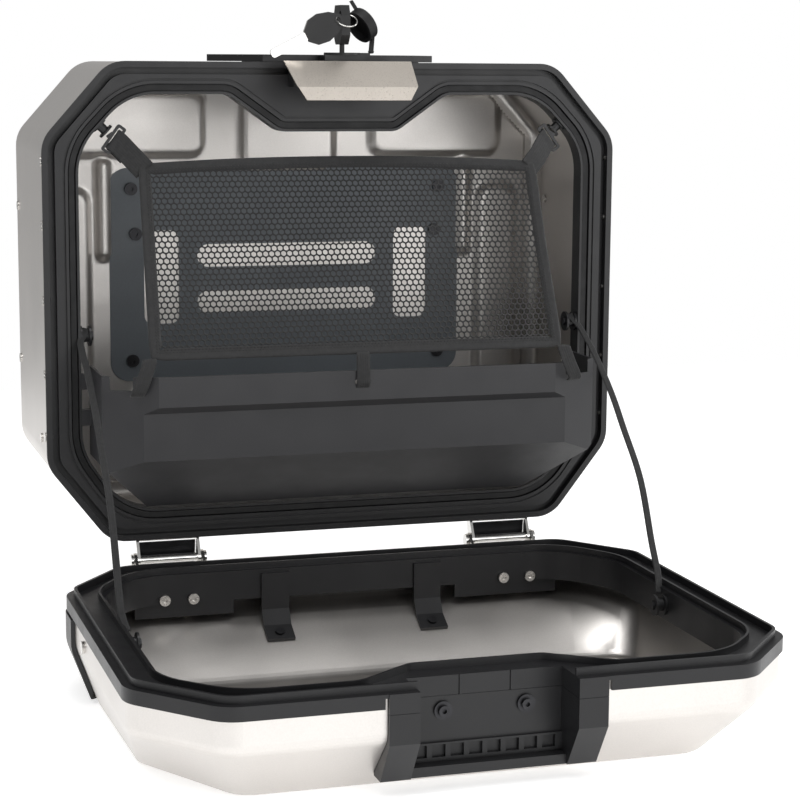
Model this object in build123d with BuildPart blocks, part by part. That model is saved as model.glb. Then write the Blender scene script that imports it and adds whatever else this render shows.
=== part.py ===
from build123d import *
import math
import os

# Hard aluminium motorcycle luggage case, standing upright with its lid hanging open.
# Millimetres. +Z up, -Y towards the opening. The origin is the centre of the rack face
# of the docking plate, on the back of the case.

# ---------------------------------------------------------------- driving dimensions
case_w = 525.0
case_h = 420.0
body_d = 188.0
sheet_t = 1.5
dock_t = 10.0

half_w = case_w / 2
top_z = case_h / 2
low_z = -top_z
back_y = -dock_t
open_y = back_y - body_d

top_chamfer = (59.0, 67.0)
low_chamfer = (54.0, 70.0)
corner_r = 30.0
opening_r = 55.0
rim_w = 30.5
rim_w_top = 27.5
dip_top_half = 100.0
dip_low_half = 54.0
dip_drop = 32.5
dip_r = 18.0

lid_gap = 4.0
hinge_drop = 18.5
hinge_y = open_y
hinge_z = low_z - hinge_drop
lid_wall_d = 35.0
lid_d = 84.5
lid_skirt_d = 11.0
lid_inset = 2.6
inner_wall_d = 26.0

hinge_x = 157.0
pin_r = 4.0
pin_fit = 0.05

bin_y = 74.0
bin_top = 157.0
bin_wall = 2.5
bin_half = 224.0
bin_face_half = 175.0
bin_bend_z = 84.0
bin_band_z = 131.0

latch_half = 58.0
lock_y = -13.0

anchor_z = 183.0
strap_x = 233.0
strap_w = 6.0
strap_t = 1.6


def up(z_from_base):
    """Height above the lower edge of the case, as a Z coordinate."""
    return low_z + z_from_base


def front(h):
    """Sketch plane h in front of the opening; local Y is up and it faces the front."""
    return Plane(origin=(0, open_y - h, 0), x_dir=(1, 0, 0), z_dir=(0, -1, 0))


def lid_plane(depth):
    """The same sketch plane carried round the hinge with the open lid, depth into it."""
    return Plane(
        origin=(0, hinge_y + hinge_z, hinge_z - lid_gap - depth),
        x_dir=(1, 0, 0),
        z_dir=(0, 0, -1),
    )


def lid_point(x, height, depth):
    """A point of the open lid, given where it would be on the closed case."""
    return (x, hinge_y + hinge_z - up(height), hinge_z - lid_gap - depth)


def side(x):
    """Sketch plane across the case at x; local X runs to the back, local Y up."""
    return Plane(origin=(x, 0, 0), x_dir=(0, 1, 0), z_dir=(1, 0, 0))


def outline_points():
    return [
        (-half_w, top_z - top_chamfer[1]),
        (-half_w + top_chamfer[0], top_z),
        (half_w - top_chamfer[0], top_z),
        (half_w, top_z - top_chamfer[1]),
        (half_w, low_z + low_chamfer[1]),
        (half_w - low_chamfer[0], low_z),
        (-half_w + low_chamfer[0], low_z),
        (-half_w, low_z + low_chamfer[1]),
    ]


def octagon(inset):
    """The chamfered outline of the case, drawn in by inset."""
    with BuildSketch() as flat:
        with BuildLine():
            Polyline(*outline_points(), close=True)
        make_face()
        fillet(flat.vertices(), corner_r)
        if inset:
            offset(amount=-inset)
    return flat.sketch


def opening(grow):
    """The inner edge of both frames, dipped under the latch, enlarged by grow."""
    side_x = half_w - rim_w
    roof = top_z - rim_w_top
    floor = low_z + rim_w_top
    slope_top = rim_w * 0.52
    with BuildSketch() as flat:
        with BuildLine():
            Polyline(
                (-side_x, top_z - top_chamfer[1] - slope_top + 8),
                (-half_w + top_chamfer[0] + slope_top, roof),
                (-dip_top_half, roof),
                (-dip_low_half, roof - dip_drop),
                (dip_low_half, roof - dip_drop),
                (dip_top_half, roof),
                (half_w - top_chamfer[0] - slope_top, roof),
                (side_x, top_z - top_chamfer[1] - slope_top + 8),
                (side_x, low_z + low_chamfer[1] + slope_top - 4),
                (half_w - low_chamfer[0] - slope_top + 2, floor),
                (-half_w + low_chamfer[0] + slope_top - 2, floor),
                (-side_x, low_z + low_chamfer[1] + slope_top - 4),
                close=True,
            )
        make_face()
        corners = flat.vertices()
        fillet(corners.filter_by(lambda v: abs(v.X) < dip_top_half + 1), dip_r)
        corners = flat.vertices()
        fillet(corners.filter_by(lambda v: abs(v.X) > half_w - top_chamfer[0] - rim_w), opening_r)
        if grow:
            offset(amount=grow)
    return flat.sketch


def ring(outer, inner):
    """A flat ring between two outlines."""
    with BuildSketch() as flat:
        add(outer)
        add(inner, mode=Mode.SUBTRACT)
    return flat.sketch


def write(builder, name):
    builder.part.label = name
    export_step(builder.part, f"parts/{name}.step")


def ahead(distance):
    """A Y coordinate, given the distance in front of the opening plane."""
    return open_y - distance


def body_band(outer, inner, depth, thick):
    """Adds one ring of the body frame, its face lying depth behind the rim."""
    with BuildSketch(front(-depth)) as face:
        add(ring(outer, inner))
    extrude(face.sketch, amount=-thick)


def lid_band(outer, inner, depth, thick):
    """Adds one ring of the lid frame, its face lying depth into the lid."""
    with BuildSketch(lid_plane(depth)) as face:
        add(ring(outer, inner))
    extrude(face.sketch, amount=thick)


def lid_block(x_low, x_high, low, high, depth, thick, mode=Mode.ADD):
    """A block of the lid between two closed heights, thick deep from depth."""
    with BuildSketch(lid_plane(depth)) as face:
        with Locations(((x_low + x_high) / 2, up((low + high) / 2))):
            Rectangle(x_high - x_low, high - low)
    extrude(face.sketch, amount=thick, mode=mode)


def rod(start, direction, radius, length, mode=Mode.ADD):
    """A cylinder that starts at a point and runs along a direction."""
    with BuildSketch(Plane(origin=start, z_dir=direction)) as face:
        Circle(radius)
    extrude(face.sketch, amount=length, mode=mode)


def strip(start, end, width, thick, across=(1, 0, 0)):
    """A flat strip between two points, its width lying along across."""
    run = Vector(*end) - Vector(*start)
    with BuildSketch(Plane(origin=start, x_dir=across, z_dir=run)) as face:
        Rectangle(width, thick)
    extrude(face.sketch, amount=run.length)


# ---------------------------------------------------------------- body shell
rivet_r = 2.0
rivet_head_r = 4.2
rivet_head_t = 1.4
frame_rivet_heights = (95, 150, 215, 280, 335)
frame_rivet_depth = 7.2
wall_rivets = ((166, 287), (168, 144), (34, 90))
hinge_rivet_dx = 16.0
hinge_rivet_depth = 17.0
back_screws = ((154, 300), (150, 257), (154, 135))
back_screw_r = 3.0

with BuildPart() as body_cavity:
    with BuildSketch(front(-2.7)):
        add(octagon(sheet_t))
    extrude(amount=-(body_d - 2.7 - sheet_t))
    fillet(body_cavity.faces().sort_by(Axis.Y)[-1].edges(), 12 - sheet_t)

with BuildPart() as body_shell:
    with BuildSketch(front(-2.7)):
        add(octagon(0))
    extrude(amount=-(body_d - 2.7))
    fillet(body_shell.faces().sort_by(Axis.Y)[-1].edges(), 12)
    add(body_cavity.part, mode=Mode.SUBTRACT)
    for sign in (-1, 1):
        for height in frame_rivet_heights:
            rod((sign * (half_w + 1), ahead(-frame_rivet_depth), up(height)),
                (-sign, 0, 0), rivet_r, 4, Mode.SUBTRACT)
        for depth, height in wall_rivets:
            rod((sign * (half_w + 1), ahead(-depth), up(height)), (-sign, 0, 0), rivet_r, 4, Mode.SUBTRACT)
        for dx in (-hinge_rivet_dx, hinge_rivet_dx):
            rod((sign * hinge_x + dx, ahead(-hinge_rivet_depth), low_z - 1), (0, 0, 1), rivet_r, 4,
                Mode.SUBTRACT)
        for x, height in back_screws:
            rod((sign * x, back_y + 1, up(height)), (0, -1, 0), back_screw_r, 4, Mode.SUBTRACT)
write(body_shell, "body_shell")

# ---------------------------------------------------------------- body frame and seal
lip_w = 4.6
channel_w = 10.5
channel_d = 8.0
seal_in, seal_out = 2.2, 9.0
with BuildPart() as body_frame:
    body_band(octagon(-0.6), octagon(lip_w), 0, 2.4)
    body_band(octagon(1.8), octagon(lip_w), 2.4, 8.1)
    body_band(octagon(lip_w), octagon(channel_w), channel_d, 2.5)
    body_band(octagon(channel_w), octagon(12.5), 0.6, 9.9)
    body_band(octagon(12.5), opening(13.5), 0.6, 3.2)
    body_band(opening(13.5), opening(11.5), 2.2, 1.6)
    body_band(opening(11.5), opening(seal_out), 0, 8.5)
    body_band(opening(seal_out), opening(seal_in), 6, 2.5)
    body_band(opening(seal_in), opening(0), 0, 18)
    for sign in (-1, 1):
        for height in frame_rivet_heights:
            rod((sign * half_w, ahead(-frame_rivet_depth), up(height)), (-sign, 0, 0), rivet_r, 6,
                Mode.SUBTRACT)
write(body_frame, "body_frame")

with BuildPart() as body_seal:
    body_band(opening(8), opening(3.2), 2.1, 3.6)
write(body_seal, "body_seal")

with BuildPart() as body_rivets:
    for sign in (-1, 1):
        for height in frame_rivet_heights:
            rod((sign * half_w, ahead(-frame_rivet_depth), up(height)), (-sign, 0, 0), rivet_r, 5.2)
            rod((sign * half_w, ahead(-frame_rivet_depth), up(height)), (sign, 0, 0), rivet_head_r,
                rivet_head_t)
        for depth, height in wall_rivets:
            rod((sign * half_w, ahead(-depth), up(height)), (-sign, 0, 0), rivet_r, sheet_t)
            rod((sign * half_w, ahead(-depth), up(height)), (sign, 0, 0), rivet_head_r, rivet_head_t)
            rod((sign * (half_w - sheet_t), ahead(-depth), up(height)), (-sign, 0, 0), rivet_head_r,
                rivet_head_t)
write(body_rivets, "body_rivets")

# ---------------------------------------------------------------- plates on the back
dock_size = (340.0, 200.0)
dock_bolts = (130.0, 70.0)
dock_bolt_r = 4.25
with BuildPart() as docking_plate:
    with BuildSketch(Plane.XZ):
        RectangleRounded(*dock_size, 22)
        with GridLocations(2 * dock_bolts[0], 2 * dock_bolts[1], 2, 2):
            Circle(dock_bolt_r, mode=Mode.SUBTRACT)
        with Locations((0, 38), (0, -38)):
            SlotOverall(150, 26, mode=Mode.SUBTRACT)
    extrude(amount=dock_t)
    chamfer(docking_plate.faces().sort_by(Axis.Y)[-1].outer_wire().edges(), 2)
    for sign in (-1, 1):
        for x, height in back_screws:
            rod((sign * x, back_y, up(height)), (0, 1, 0), back_screw_r, 6.5, Mode.SUBTRACT)
write(docking_plate, "docking_plate")

plate_half = 175.0
plate_low, plate_high = 115.0, 320.0
inner_back_y = back_y - sheet_t
with BuildPart() as backing_plate:
    with BuildSketch(Plane(origin=(0, inner_back_y, 0), x_dir=(1, 0, 0), z_dir=(0, -1, 0))):
        with Locations((0, up((plate_low + plate_high) / 2))):
            RectangleRounded(2 * plate_half, plate_high - plate_low, 18)
        with Locations((0, up(235)), (0, up(190))):
            SlotOverall(180, 22, mode=Mode.SUBTRACT)
        with Locations((-125, up(215)), (125, up(215))):
            RectangleRounded(34, 90, 8, mode=Mode.SUBTRACT)
    extrude(amount=2)
    for sign in (-1, 1):
        for x, height in back_screws:
            rod((sign * x, back_y, up(height)), (0, -1, 0), back_screw_r, 6, Mode.SUBTRACT)
write(backing_plate, "backing_plate")

with BuildPart() as backing_screws:
    for sign in (-1, 1):
        for x, height in back_screws:
            rod((sign * x, back_y + 6, up(height)), (0, -1, 0), back_screw_r, 6 + sheet_t + 2)
            rod((sign * x, inner_back_y - 2, up(height)), (0, -1, 0), 6, 3)
            rod((sign * x, inner_back_y - 5, up(height)), (0, 1, 0), 2.2, 2, Mode.SUBTRACT)
write(backing_screws, "backing_screws")

# ---------------------------------------------------------------- storage bin
bin_back = 10.0
bin_top_y = 80.0
bin_corner = 47.0
lug_heights = (112, 144)
lug_depth = 8.0


def bin_solid(inset):
    """The bulging pocket as a solid block, drawn in by inset on its outer faces."""
    with BuildPart() as block:
        with BuildSketch(side(-bin_half + inset)):
            with BuildLine():
                Polyline(
                    (ahead(-bin_back), up(bin_top + inset)),
                    (ahead(bin_top_y - inset), up(bin_top + inset)),
                    (ahead(bin_top_y - inset), up(bin_band_z)),
                    (ahead(bin_y - inset), up(bin_band_z - 6)),
                    (ahead(bin_y - inset), up(bin_bend_z)),
                    (ahead(4), up(31 + inset)),
                    (ahead(-bin_back), up(31 + inset)),
                    close=True,
                )
            make_face()
        extrude(amount=2 * (bin_half - inset))
        with BuildSketch(Plane.XY.offset(low_z)):
            with BuildLine():
                Polyline(
                    (-bin_half + inset, ahead(-bin_back)),
                    (-bin_half + inset, ahead(58)),
                    (-bin_face_half, ahead(bin_top_y + 2 - inset)),
                    (bin_face_half, ahead(bin_top_y + 2 - inset)),
                    (bin_half - inset, ahead(58)),
                    (bin_half - inset, ahead(-bin_back)),
                    close=True,
                )
            make_face()
        extrude(amount=200, mode=Mode.INTERSECT)
        with BuildSketch(front(100)):
            with BuildLine():
                Polyline(
                    (-bin_half + inset, up(180)),
                    (bin_half - inset, up(180)),
                    (bin_half - inset, up(31 + bin_corner)),
                    (bin_half - bin_corner, up(31 + inset)),
                    (-bin_half + bin_corner, up(31 + inset)),
                    (-bin_half + inset, up(31 + bin_corner)),
                    close=True,
                )
            make_face()
        extrude(amount=-130, mode=Mode.INTERSECT)
    return block.part


with BuildPart() as storage_bin:
    add(bin_solid(0))
    add(bin_solid(bin_wall), mode=Mode.SUBTRACT)
    with BuildSketch(Plane.XY.offset(up(bin_top - 12))):
        with Locations((0, ahead(30))):
            Rectangle(2 * (bin_half - bin_wall) - 8, 80)
    extrude(amount=30, mode=Mode.SUBTRACT)
    with BuildSketch(front(-bin_back + 2)):
        with Locations((0, up(105))):
            Rectangle(2 * (bin_half - bin_wall) - 8, 150)
    extrude(amount=-30, mode=Mode.SUBTRACT)
    for sign in (-1, 1):
        for height in lug_heights:
            with BuildSketch(side(sign * bin_half)):
                with Locations((ahead(-lug_depth / 2), up(height))):
                    Rectangle(lug_depth, 14)
            extrude(amount=sign * (half_w - rim_w - bin_half))
            rod((sign * (half_w - rim_w + 1), ahead(-lug_depth / 2), up(height)), (-sign, 0, 0), 2, 20,
                Mode.SUBTRACT)
        with BuildSketch(front(bin_top_y + 1)):
            with Locations((sign * 198, up(147)), (0, up(147))):
                SlotOverall(14, 4)
        extrude(amount=-8, mode=Mode.SUBTRACT)
write(storage_bin, "storage_bin")

with BuildPart() as bin_screws:
    for sign in (-1, 1):
        for height in lug_heights:
            rod((sign * (half_w - rim_w), ahead(-lug_depth / 2), up(height)), (-sign, 0, 0), 1.95, 10.5)
            rod((sign * (bin_half - bin_wall), ahead(-lug_depth / 2), up(height)), (-sign, 0, 0), 4.5, 2.5)
write(bin_screws, "bin_screws")

# ---------------------------------------------------------------- lid shell
rim_to_floor = (
    (-237.0, 268.0),
    (-181.0, 365.0),
    (181.0, 365.0),
    (237.0, 268.0),
    (242.0, 99.5),
    (168.0, 97.0),
    (-168.0, 97.0),
    (-242.0, 99.5),
)
floor_r = 24.0
floor_low_r = 400.0
bevel_end = 0.95
bend_start_d = 30.0
recess_half = 61.0
recess_block_half = 84.3
recess_h = 385.0
fold_steps = 4


def bezier(a, b, c, t):
    """A point of the bend curve that leaves a towards b and arrives at c."""
    return tuple(
        (1 - t) ** 2 * p + 2 * t * (1 - t) * q + t**2 * r
        for p, q, r in zip(a, b, c)
    )


def pan_stations():
    """How far in towards the floor outline, and how deep, each section of the lid lies."""
    bevel_rate = (lid_d - lid_wall_d) / bevel_end
    stations = [(0.0, bend_start_d)]
    for step in range(1, fold_steps + 1):
        after_bend = (0.1, lid_wall_d + 0.1 * bevel_rate)
        stations.append(bezier((0.0, bend_start_d), (0.0, lid_wall_d), after_bend, step / fold_steps))
    stations.append((0.86, lid_wall_d + 0.86 * bevel_rate))
    for step in range(1, fold_steps + 1):
        before_floor = stations[fold_steps + 1]
        stations.append(bezier(before_floor, (bevel_end, lid_d), (1.0, lid_d), step / fold_steps))
    return stations


def pan_outline(share, inset):
    """The lid's outline, share of the way from the rim to the flat floor."""
    loop = []
    for rim, floor in zip(outline_points(), rim_to_floor):
        loop.append(
            (
                rim[0] * (1 - share) + floor[0] * share,
                rim[1] * (1 - share) + up(floor[1]) * share,
            )
        )
    low_turn_r = corner_r + (floor_low_r - corner_r) * share**4
    other_r = corner_r + (floor_r - corner_r) * share
    with BuildSketch() as flat:
        with BuildLine():
            Polyline(*loop, close=True)
        make_face()
        low_corners = flat.vertices().sort_by(Axis.Y)[:2]
        fillet(low_corners, low_turn_r)
        sharp = [v for v in flat.vertices() if any(math.dist((v.X, v.Y), p) < 0.01 for p in loop)]
        fillet(sharp, other_r)
        offset(amount=-inset - lid_inset * (1 - share))
    return flat.sketch


def pan(inset):
    """The lid as a solid block, drawn in by inset all over."""
    stations = pan_stations()
    with BuildPart() as block:
        for share, depth in stations:
            with BuildSketch(lid_plane(depth - inset)):
                add(pan_outline(share, inset))
        loft(ruled=True)
        with BuildSketch(lid_plane(3.3)):
            add(pan_outline(0.0, inset))
        extrude(amount=bend_start_d - inset - 3.3)
    return block.part


brace_x = 70.7
brace_foot_h = 43.5
bevel_slope = (lid_d - lid_wall_d) / bevel_end / (rim_to_floor[5][1] - lid_inset)
spool_h, spool_d = 190.0, 13.5
hinge_bolt_dx, hinge_bolt_d, hinge_bolt_r = 12.75, 22.0, 2.5
side_bolt_h, side_bolt_d = 154.5, 23.5
grip_screw_x, grip_screw_d = 32.5, 26.0


def bevel_depth(height):
    """Depth of the outer face of the hinge-side bevel at a closed height."""
    return lid_wall_d + bevel_slope * (height - lid_inset)


brace_normal = Vector(0, -bevel_slope, 1).normalized()


def brace_foot(sign):
    """Where the axis of a brace's screw meets the outer face of the bevel."""
    return Vector(*lid_point(sign * brace_x, brace_foot_h, bevel_depth(brace_foot_h)))


def lid_height_rod(x, depth, low, high, radius, mode=Mode.ADD):
    """A cylinder in the lid that runs along the closed height."""
    rod(lid_point(x, low, depth), (0, -1, 0), radius, high - low, mode)


with BuildPart() as lid_shell:
    with BuildPart(mode=Mode.PRIVATE) as hollow:
        add(pan(sheet_t))
        lid_block(-recess_block_half - 0.3 - sheet_t, recess_block_half + 0.3 + sheet_t,
                  recess_h - 4.4, 440, -5, 100, Mode.SUBTRACT)
    add(pan(0))
    lid_block(-recess_block_half - 0.3, recess_block_half + 0.3, recess_h - 2.9, 440, -5, 100, Mode.SUBTRACT)
    add(hollow.part, mode=Mode.SUBTRACT)
    for sign in (-1, 1):
        for dx in (-hinge_bolt_dx, hinge_bolt_dx):
            lid_height_rod(sign * hinge_x + dx, hinge_bolt_d, -5, 10, hinge_bolt_r, Mode.SUBTRACT)
        rod(lid_point(sign * half_w, side_bolt_h, side_bolt_d), (-sign, 0, 0), 2.5, 8, Mode.SUBTRACT)
        rod(brace_foot(sign) - brace_normal * 4, brace_normal, 2.2, 8, Mode.SUBTRACT)
        lid_height_rod(sign * grip_screw_x, grip_screw_d, recess_h - 10, recess_h, 2.5, Mode.SUBTRACT)
write(lid_shell, "lid_shell")

# ---------------------------------------------------------------- lid frame and grip cover
skirt_t = 2.3
flange_low_d = 38.0
window_pitch = 14.4
window_count = 8
with BuildPart() as lid_frame:
    lid_band(octagon(0), opening(0), 0, 3)
    lid_band(octagon(0), octagon(skirt_t), 3, lid_skirt_d - 3)
    lid_band(octagon(4.4), octagon(6.4), 3, 11)
    lid_band(octagon(6.3), octagon(8.8), -6, 6)
    lid_band(opening(6.3), opening(4.3), -5.5, 5.5)
    lid_band(opening(2.2), opening(0), 3, inner_wall_d - 3)
    for x_low, x_high in ((-196, -108), (98, 196)):
        lid_block(x_low, x_high, rim_w_top - 2.2, rim_w_top, inner_wall_d, flange_low_d - inner_wall_d)
    lid_block(-recess_half, recess_half, recess_h, 440, -10, 60, Mode.SUBTRACT)
    lid_block(-recess_block_half - 2.5, recess_block_half + 2.5, recess_h - 5, 440, 3, 40, Mode.SUBTRACT)
    lid_block(-recess_half, recess_half, recess_h - 2.4, recess_h, 0, 15)
    for sign in (-1, 1):
        middle = sign * (recess_half + recess_block_half) / 2
        reach = (recess_block_half - recess_half) / 2
        lid_block(middle - reach, middle + reach, recess_h - 2.4, 421, 0, 15)
        for dx in (-hinge_bolt_dx, hinge_bolt_dx):
            lid_height_rod(sign * hinge_x + dx, hinge_bolt_d, 10, 40, hinge_bolt_r, Mode.SUBTRACT)
        rod(lid_point(sign * (half_w - rim_w - 5), spool_h, spool_d), (sign, 0, 0), 2.0, 12, Mode.SUBTRACT)
        lid_block(sign * 20 - 0.5, sign * 20 + 0.5, recess_h - 1.2, recess_h, -1, 17, Mode.SUBTRACT)
write(lid_frame, "lid_frame")

with BuildPart() as lid_grip_cover:
    for x_low in (-recess_block_half, recess_half):
        with BuildSketch(side(x_low)):
            with BuildLine():
                Polyline(
                    lid_point(0, recess_h - 2.4, 15.3)[1:],
                    lid_point(0, 421, 15.3)[1:],
                    lid_point(0, 421, 38)[1:],
                    lid_point(0, 399, 72)[1:],
                    lid_point(0, recess_h - 2.4, 72)[1:],
                    close=True,
                )
            make_face()
        extrude(amount=recess_block_half - recess_half)
    lid_block(-recess_half, recess_half, recess_h - 2.4, recess_h, 15.3, 36)
    lid_block(-recess_half, recess_half, recess_h - 2.4, recess_h + 2.6, 50, 13)
    lid_block(-recess_half, recess_half, recess_h - 2.4, 397, 64.5, 7.5)
    lid_block(-recess_half, recess_half, recess_h - 2.4, recess_h + 1, 62, 4)
    for number in range(window_count):
        x = (number - (window_count - 1) / 2) * window_pitch
        lid_block(x - 5.2, x + 5.2, recess_h - 0.8, recess_h + 5, 51.5, 9.5, Mode.SUBTRACT)
    for sign in (-1, 1):
        lid_height_rod(sign * grip_screw_x, grip_screw_d, recess_h - 10, recess_h + 1, 2.5, Mode.SUBTRACT)
write(lid_grip_cover, "lid_grip_cover")

with BuildPart() as grip_screws:
    for sign in (-1, 1):
        lid_height_rod(sign * grip_screw_x, grip_screw_d, recess_h - 9, recess_h, 2.45)
        lid_height_rod(sign * grip_screw_x, grip_screw_d, recess_h, recess_h + 2.2, 7)
        lid_height_rod(sign * grip_screw_x, grip_screw_d, recess_h + 2.2, recess_h + 5, 4.2)
        lid_height_rod(sign * grip_screw_x, grip_screw_d, recess_h + 2.5, recess_h + 6, 1.8, Mode.SUBTRACT)
write(grip_screws, "grip_screws")

# ---------------------------------------------------------------- lid braces and small lid parts
brace_w = 25.0
brace_t = 3.0
inner_bevel_lift = 2.4
with BuildPart() as lid_braces:
    for sign in (-1, 1):
        with BuildSketch(side(sign * brace_x - brace_w / 2)):
            with BuildLine():
                Polyline(
                    lid_point(0, rim_w_top, 3.5)[1:],
                    lid_point(0, rim_w_top, 37)[1:],
                    lid_point(0, 36.5, bevel_depth(36.5) - inner_bevel_lift)[1:],
                    lid_point(0, 52, bevel_depth(52) - inner_bevel_lift)[1:],
                    lid_point(0, 53.4, bevel_depth(52) - inner_bevel_lift - 2.7)[1:],
                    lid_point(0, 38, bevel_depth(36.5) - inner_bevel_lift - 2.7)[1:],
                    lid_point(0, rim_w_top + brace_t, 36)[1:],
                    lid_point(0, rim_w_top + brace_t, 3.5)[1:],
                    close=True,
                )
            make_face()
        extrude(amount=brace_w)
        rod(brace_foot(sign) - brace_normal * 4, brace_normal, 2.2, 20, Mode.SUBTRACT)
write(lid_braces, "lid_braces")

with BuildPart() as brace_screws:
    for sign in (-1, 1):
        foot = brace_foot(sign)
        rod(foot - brace_normal * 1.4, brace_normal, 4.5, 1.4)
        rod(foot, brace_normal, 2.15, 6.8)
        rod(foot + brace_normal * 5.3, brace_normal, 4.2, 1.8)
write(brace_screws, "brace_screws")

with BuildPart() as strap_spools_lid:
    for sign in (-1, 1):
        for reach, radius, thick in ((0, 9, 2), (2, 5.5, 6), (8, 9, 2)):
            start = lid_point(sign * (half_w - rim_w - reach), spool_h, spool_d)
            rod(start, (-sign, 0, 0), radius, thick)
        rod(lid_point(sign * half_w, spool_h, spool_d), (-sign, 0, 0), 2.0, 60, Mode.SUBTRACT)
write(strap_spools_lid, "strap_spools_lid")

with BuildPart() as spool_screws:
    for sign in (-1, 1):
        rod(lid_point(sign * (half_w - rim_w + 2.2), spool_h, spool_d), (-sign, 0, 0), 1.95, 12.2)
        rod(lid_point(sign * (half_w - rim_w - 10), spool_h, spool_d), (-sign, 0, 0), 4, 1.8)
write(spool_screws, "spool_screws")

guard_t = 3.2
with BuildPart() as corner_guards:
    with BuildPart(mode=Mode.PRIVATE) as cover:
        add(pan(-guard_t - 0.3))
        add(pan(-0.3), mode=Mode.SUBTRACT)
    for sign in (-1, 1):
        with BuildSketch(lid_plane(13)):
            with BuildLine():
                Polyline(
                    (sign * 212, up(-8)),
                    (sign * 270, up(-8)),
                    (sign * 270, up(104)),
                    (sign * 247, up(112)),
                    (sign * 212, up(84)),
                    close=True,
                )
            make_face()
        extrude(amount=lid_d - 17)
    add(cover.part, mode=Mode.INTERSECT)
write(corner_guards, "corner_guards")

with BuildPart() as lid_side_bolts:
    for sign in (-1, 1):
        rod(lid_point(sign * (half_w - lid_inset), side_bolt_h, side_bolt_d), (-sign, 0, 0), 2.45, 5)
        rod(lid_point(sign * (half_w - lid_inset), side_bolt_h, side_bolt_d), (sign, 0, 0), 5, 2.4)
        rod(lid_point(sign * (half_w - lid_inset - sheet_t), side_bolt_h, side_bolt_d), (-sign, 0, 0), 4.2, 2.5)
write(lid_side_bolts, "lid_side_bolts")

with BuildPart() as drain_eyelets:
    for sign in (-1, 1):
        rod(lid_point(sign * 220, 116, lid_d - sheet_t), (0, 0, 1), 5.5, 1.4)
        rod(lid_point(sign * 220, 116, lid_d - sheet_t), (0, 0, 1), 2.5, 1.4, Mode.SUBTRACT)
write(drain_eyelets, "drain_eyelets")

# ---------------------------------------------------------------- hinges
ear_t = 2.5
ear_r = 6.5
body_ear_x = 26.0
lid_ear_x = 29.0
leaf_t = 2.0
for side_name, sign in (("left", -1), ("right", 1)):
    middle = sign * hinge_x
    with BuildPart() as body_leaf:
        with BuildSketch(Plane.XY.offset(low_z - leaf_t)):
            with Locations((middle, ahead(-13.5))):
                RectangleRounded(2 * (body_ear_x + ear_t), 21, 2)
        extrude(amount=leaf_t)
        for ear_low in (-body_ear_x - ear_t, body_ear_x):
            with BuildSketch(side(middle + ear_low)):
                with Locations((hinge_y, hinge_z)):
                    Circle(ear_r)
                with Locations((ahead(-7.5), low_z - leaf_t / 2)):
                    Rectangle(9, leaf_t)
                make_hull()
            extrude(amount=ear_t)
        rod((middle - 60, hinge_y, hinge_z), (1, 0, 0), pin_r + pin_fit, 120, Mode.SUBTRACT)
        for dx in (-hinge_rivet_dx, hinge_rivet_dx):
            rod((middle + dx, ahead(-hinge_rivet_depth), low_z - 5), (0, 0, 1), rivet_r, 8, Mode.SUBTRACT)
    write(body_leaf, f"hinge_leaf_body_{side_name}")

    with BuildPart() as hinge_pin:
        rod((middle - 34, hinge_y, hinge_z), (1, 0, 0), pin_r, 68)
        rod((middle - 34, hinge_y, hinge_z), (1, 0, 0), 5.6, 2)
        rod((middle + 32, hinge_y, hinge_z), (1, 0, 0), 5.6, 2)
    write(hinge_pin, f"hinge_pin_{side_name}")

    with BuildPart() as lid_leaf:
        lid_block(middle - lid_ear_x - ear_t, middle + lid_ear_x + ear_t, -2.8, -0.3, 2, 27)
        for ear_low in (-lid_ear_x - ear_t, lid_ear_x):
            with BuildSketch(side(middle + ear_low)):
                with Locations((hinge_y, hinge_z)):
                    Circle(ear_r)
                with Locations(lid_point(0, -1.55, 9)[1:]):
                    Rectangle(2.5, 14)
                make_hull()
            extrude(amount=ear_t)
        rod((middle - 60, hinge_y, hinge_z), (1, 0, 0), pin_r + pin_fit, 120, Mode.SUBTRACT)
        for dx in (-hinge_bolt_dx, hinge_bolt_dx):
            lid_height_rod(middle + dx, hinge_bolt_d, -5, 5, hinge_bolt_r, Mode.SUBTRACT)
    write(lid_leaf, f"hinge_leaf_lid_{side_name}")

with BuildPart() as hinge_rivets_body:
    for sign in (-1, 1):
        for dx in (-hinge_rivet_dx, hinge_rivet_dx):
            x = sign * hinge_x + dx
            y = ahead(-hinge_rivet_depth)
            rod((x, y, low_z - leaf_t - rivet_head_t), (0, 0, 1), rivet_head_r, rivet_head_t)
            rod((x, y, low_z - leaf_t), (0, 0, 1), rivet_r, leaf_t + sheet_t)
            rod((x, y, low_z + sheet_t), (0, 0, 1), rivet_head_r, rivet_head_t)
write(hinge_rivets_body, "hinge_rivets_body")

with BuildPart() as hinge_bolts_lid:
    for sign in (-1, 1):
        for dx in (-hinge_bolt_dx, hinge_bolt_dx):
            x = sign * hinge_x + dx
            lid_height_rod(x, hinge_bolt_d, -5, -2.8, 4.5)
            lid_height_rod(x, hinge_bolt_d, -2.8, rim_w_top, hinge_bolt_r)
            lid_height_rod(x, hinge_bolt_d, -0.3, lid_inset, 4.5)
            lid_height_rod(x, hinge_bolt_d, rim_w_top, rim_w_top + 3.8, hinge_bolt_r)
            lid_height_rod(x, hinge_bolt_d, rim_w_top + 1, rim_w_top + 3.8, 4.8)
            lid_height_rod(x, hinge_bolt_d, rim_w_top + 2, rim_w_top + 4, 2, Mode.SUBTRACT)
write(hinge_bolts_lid, "hinge_bolts_lid")

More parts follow.
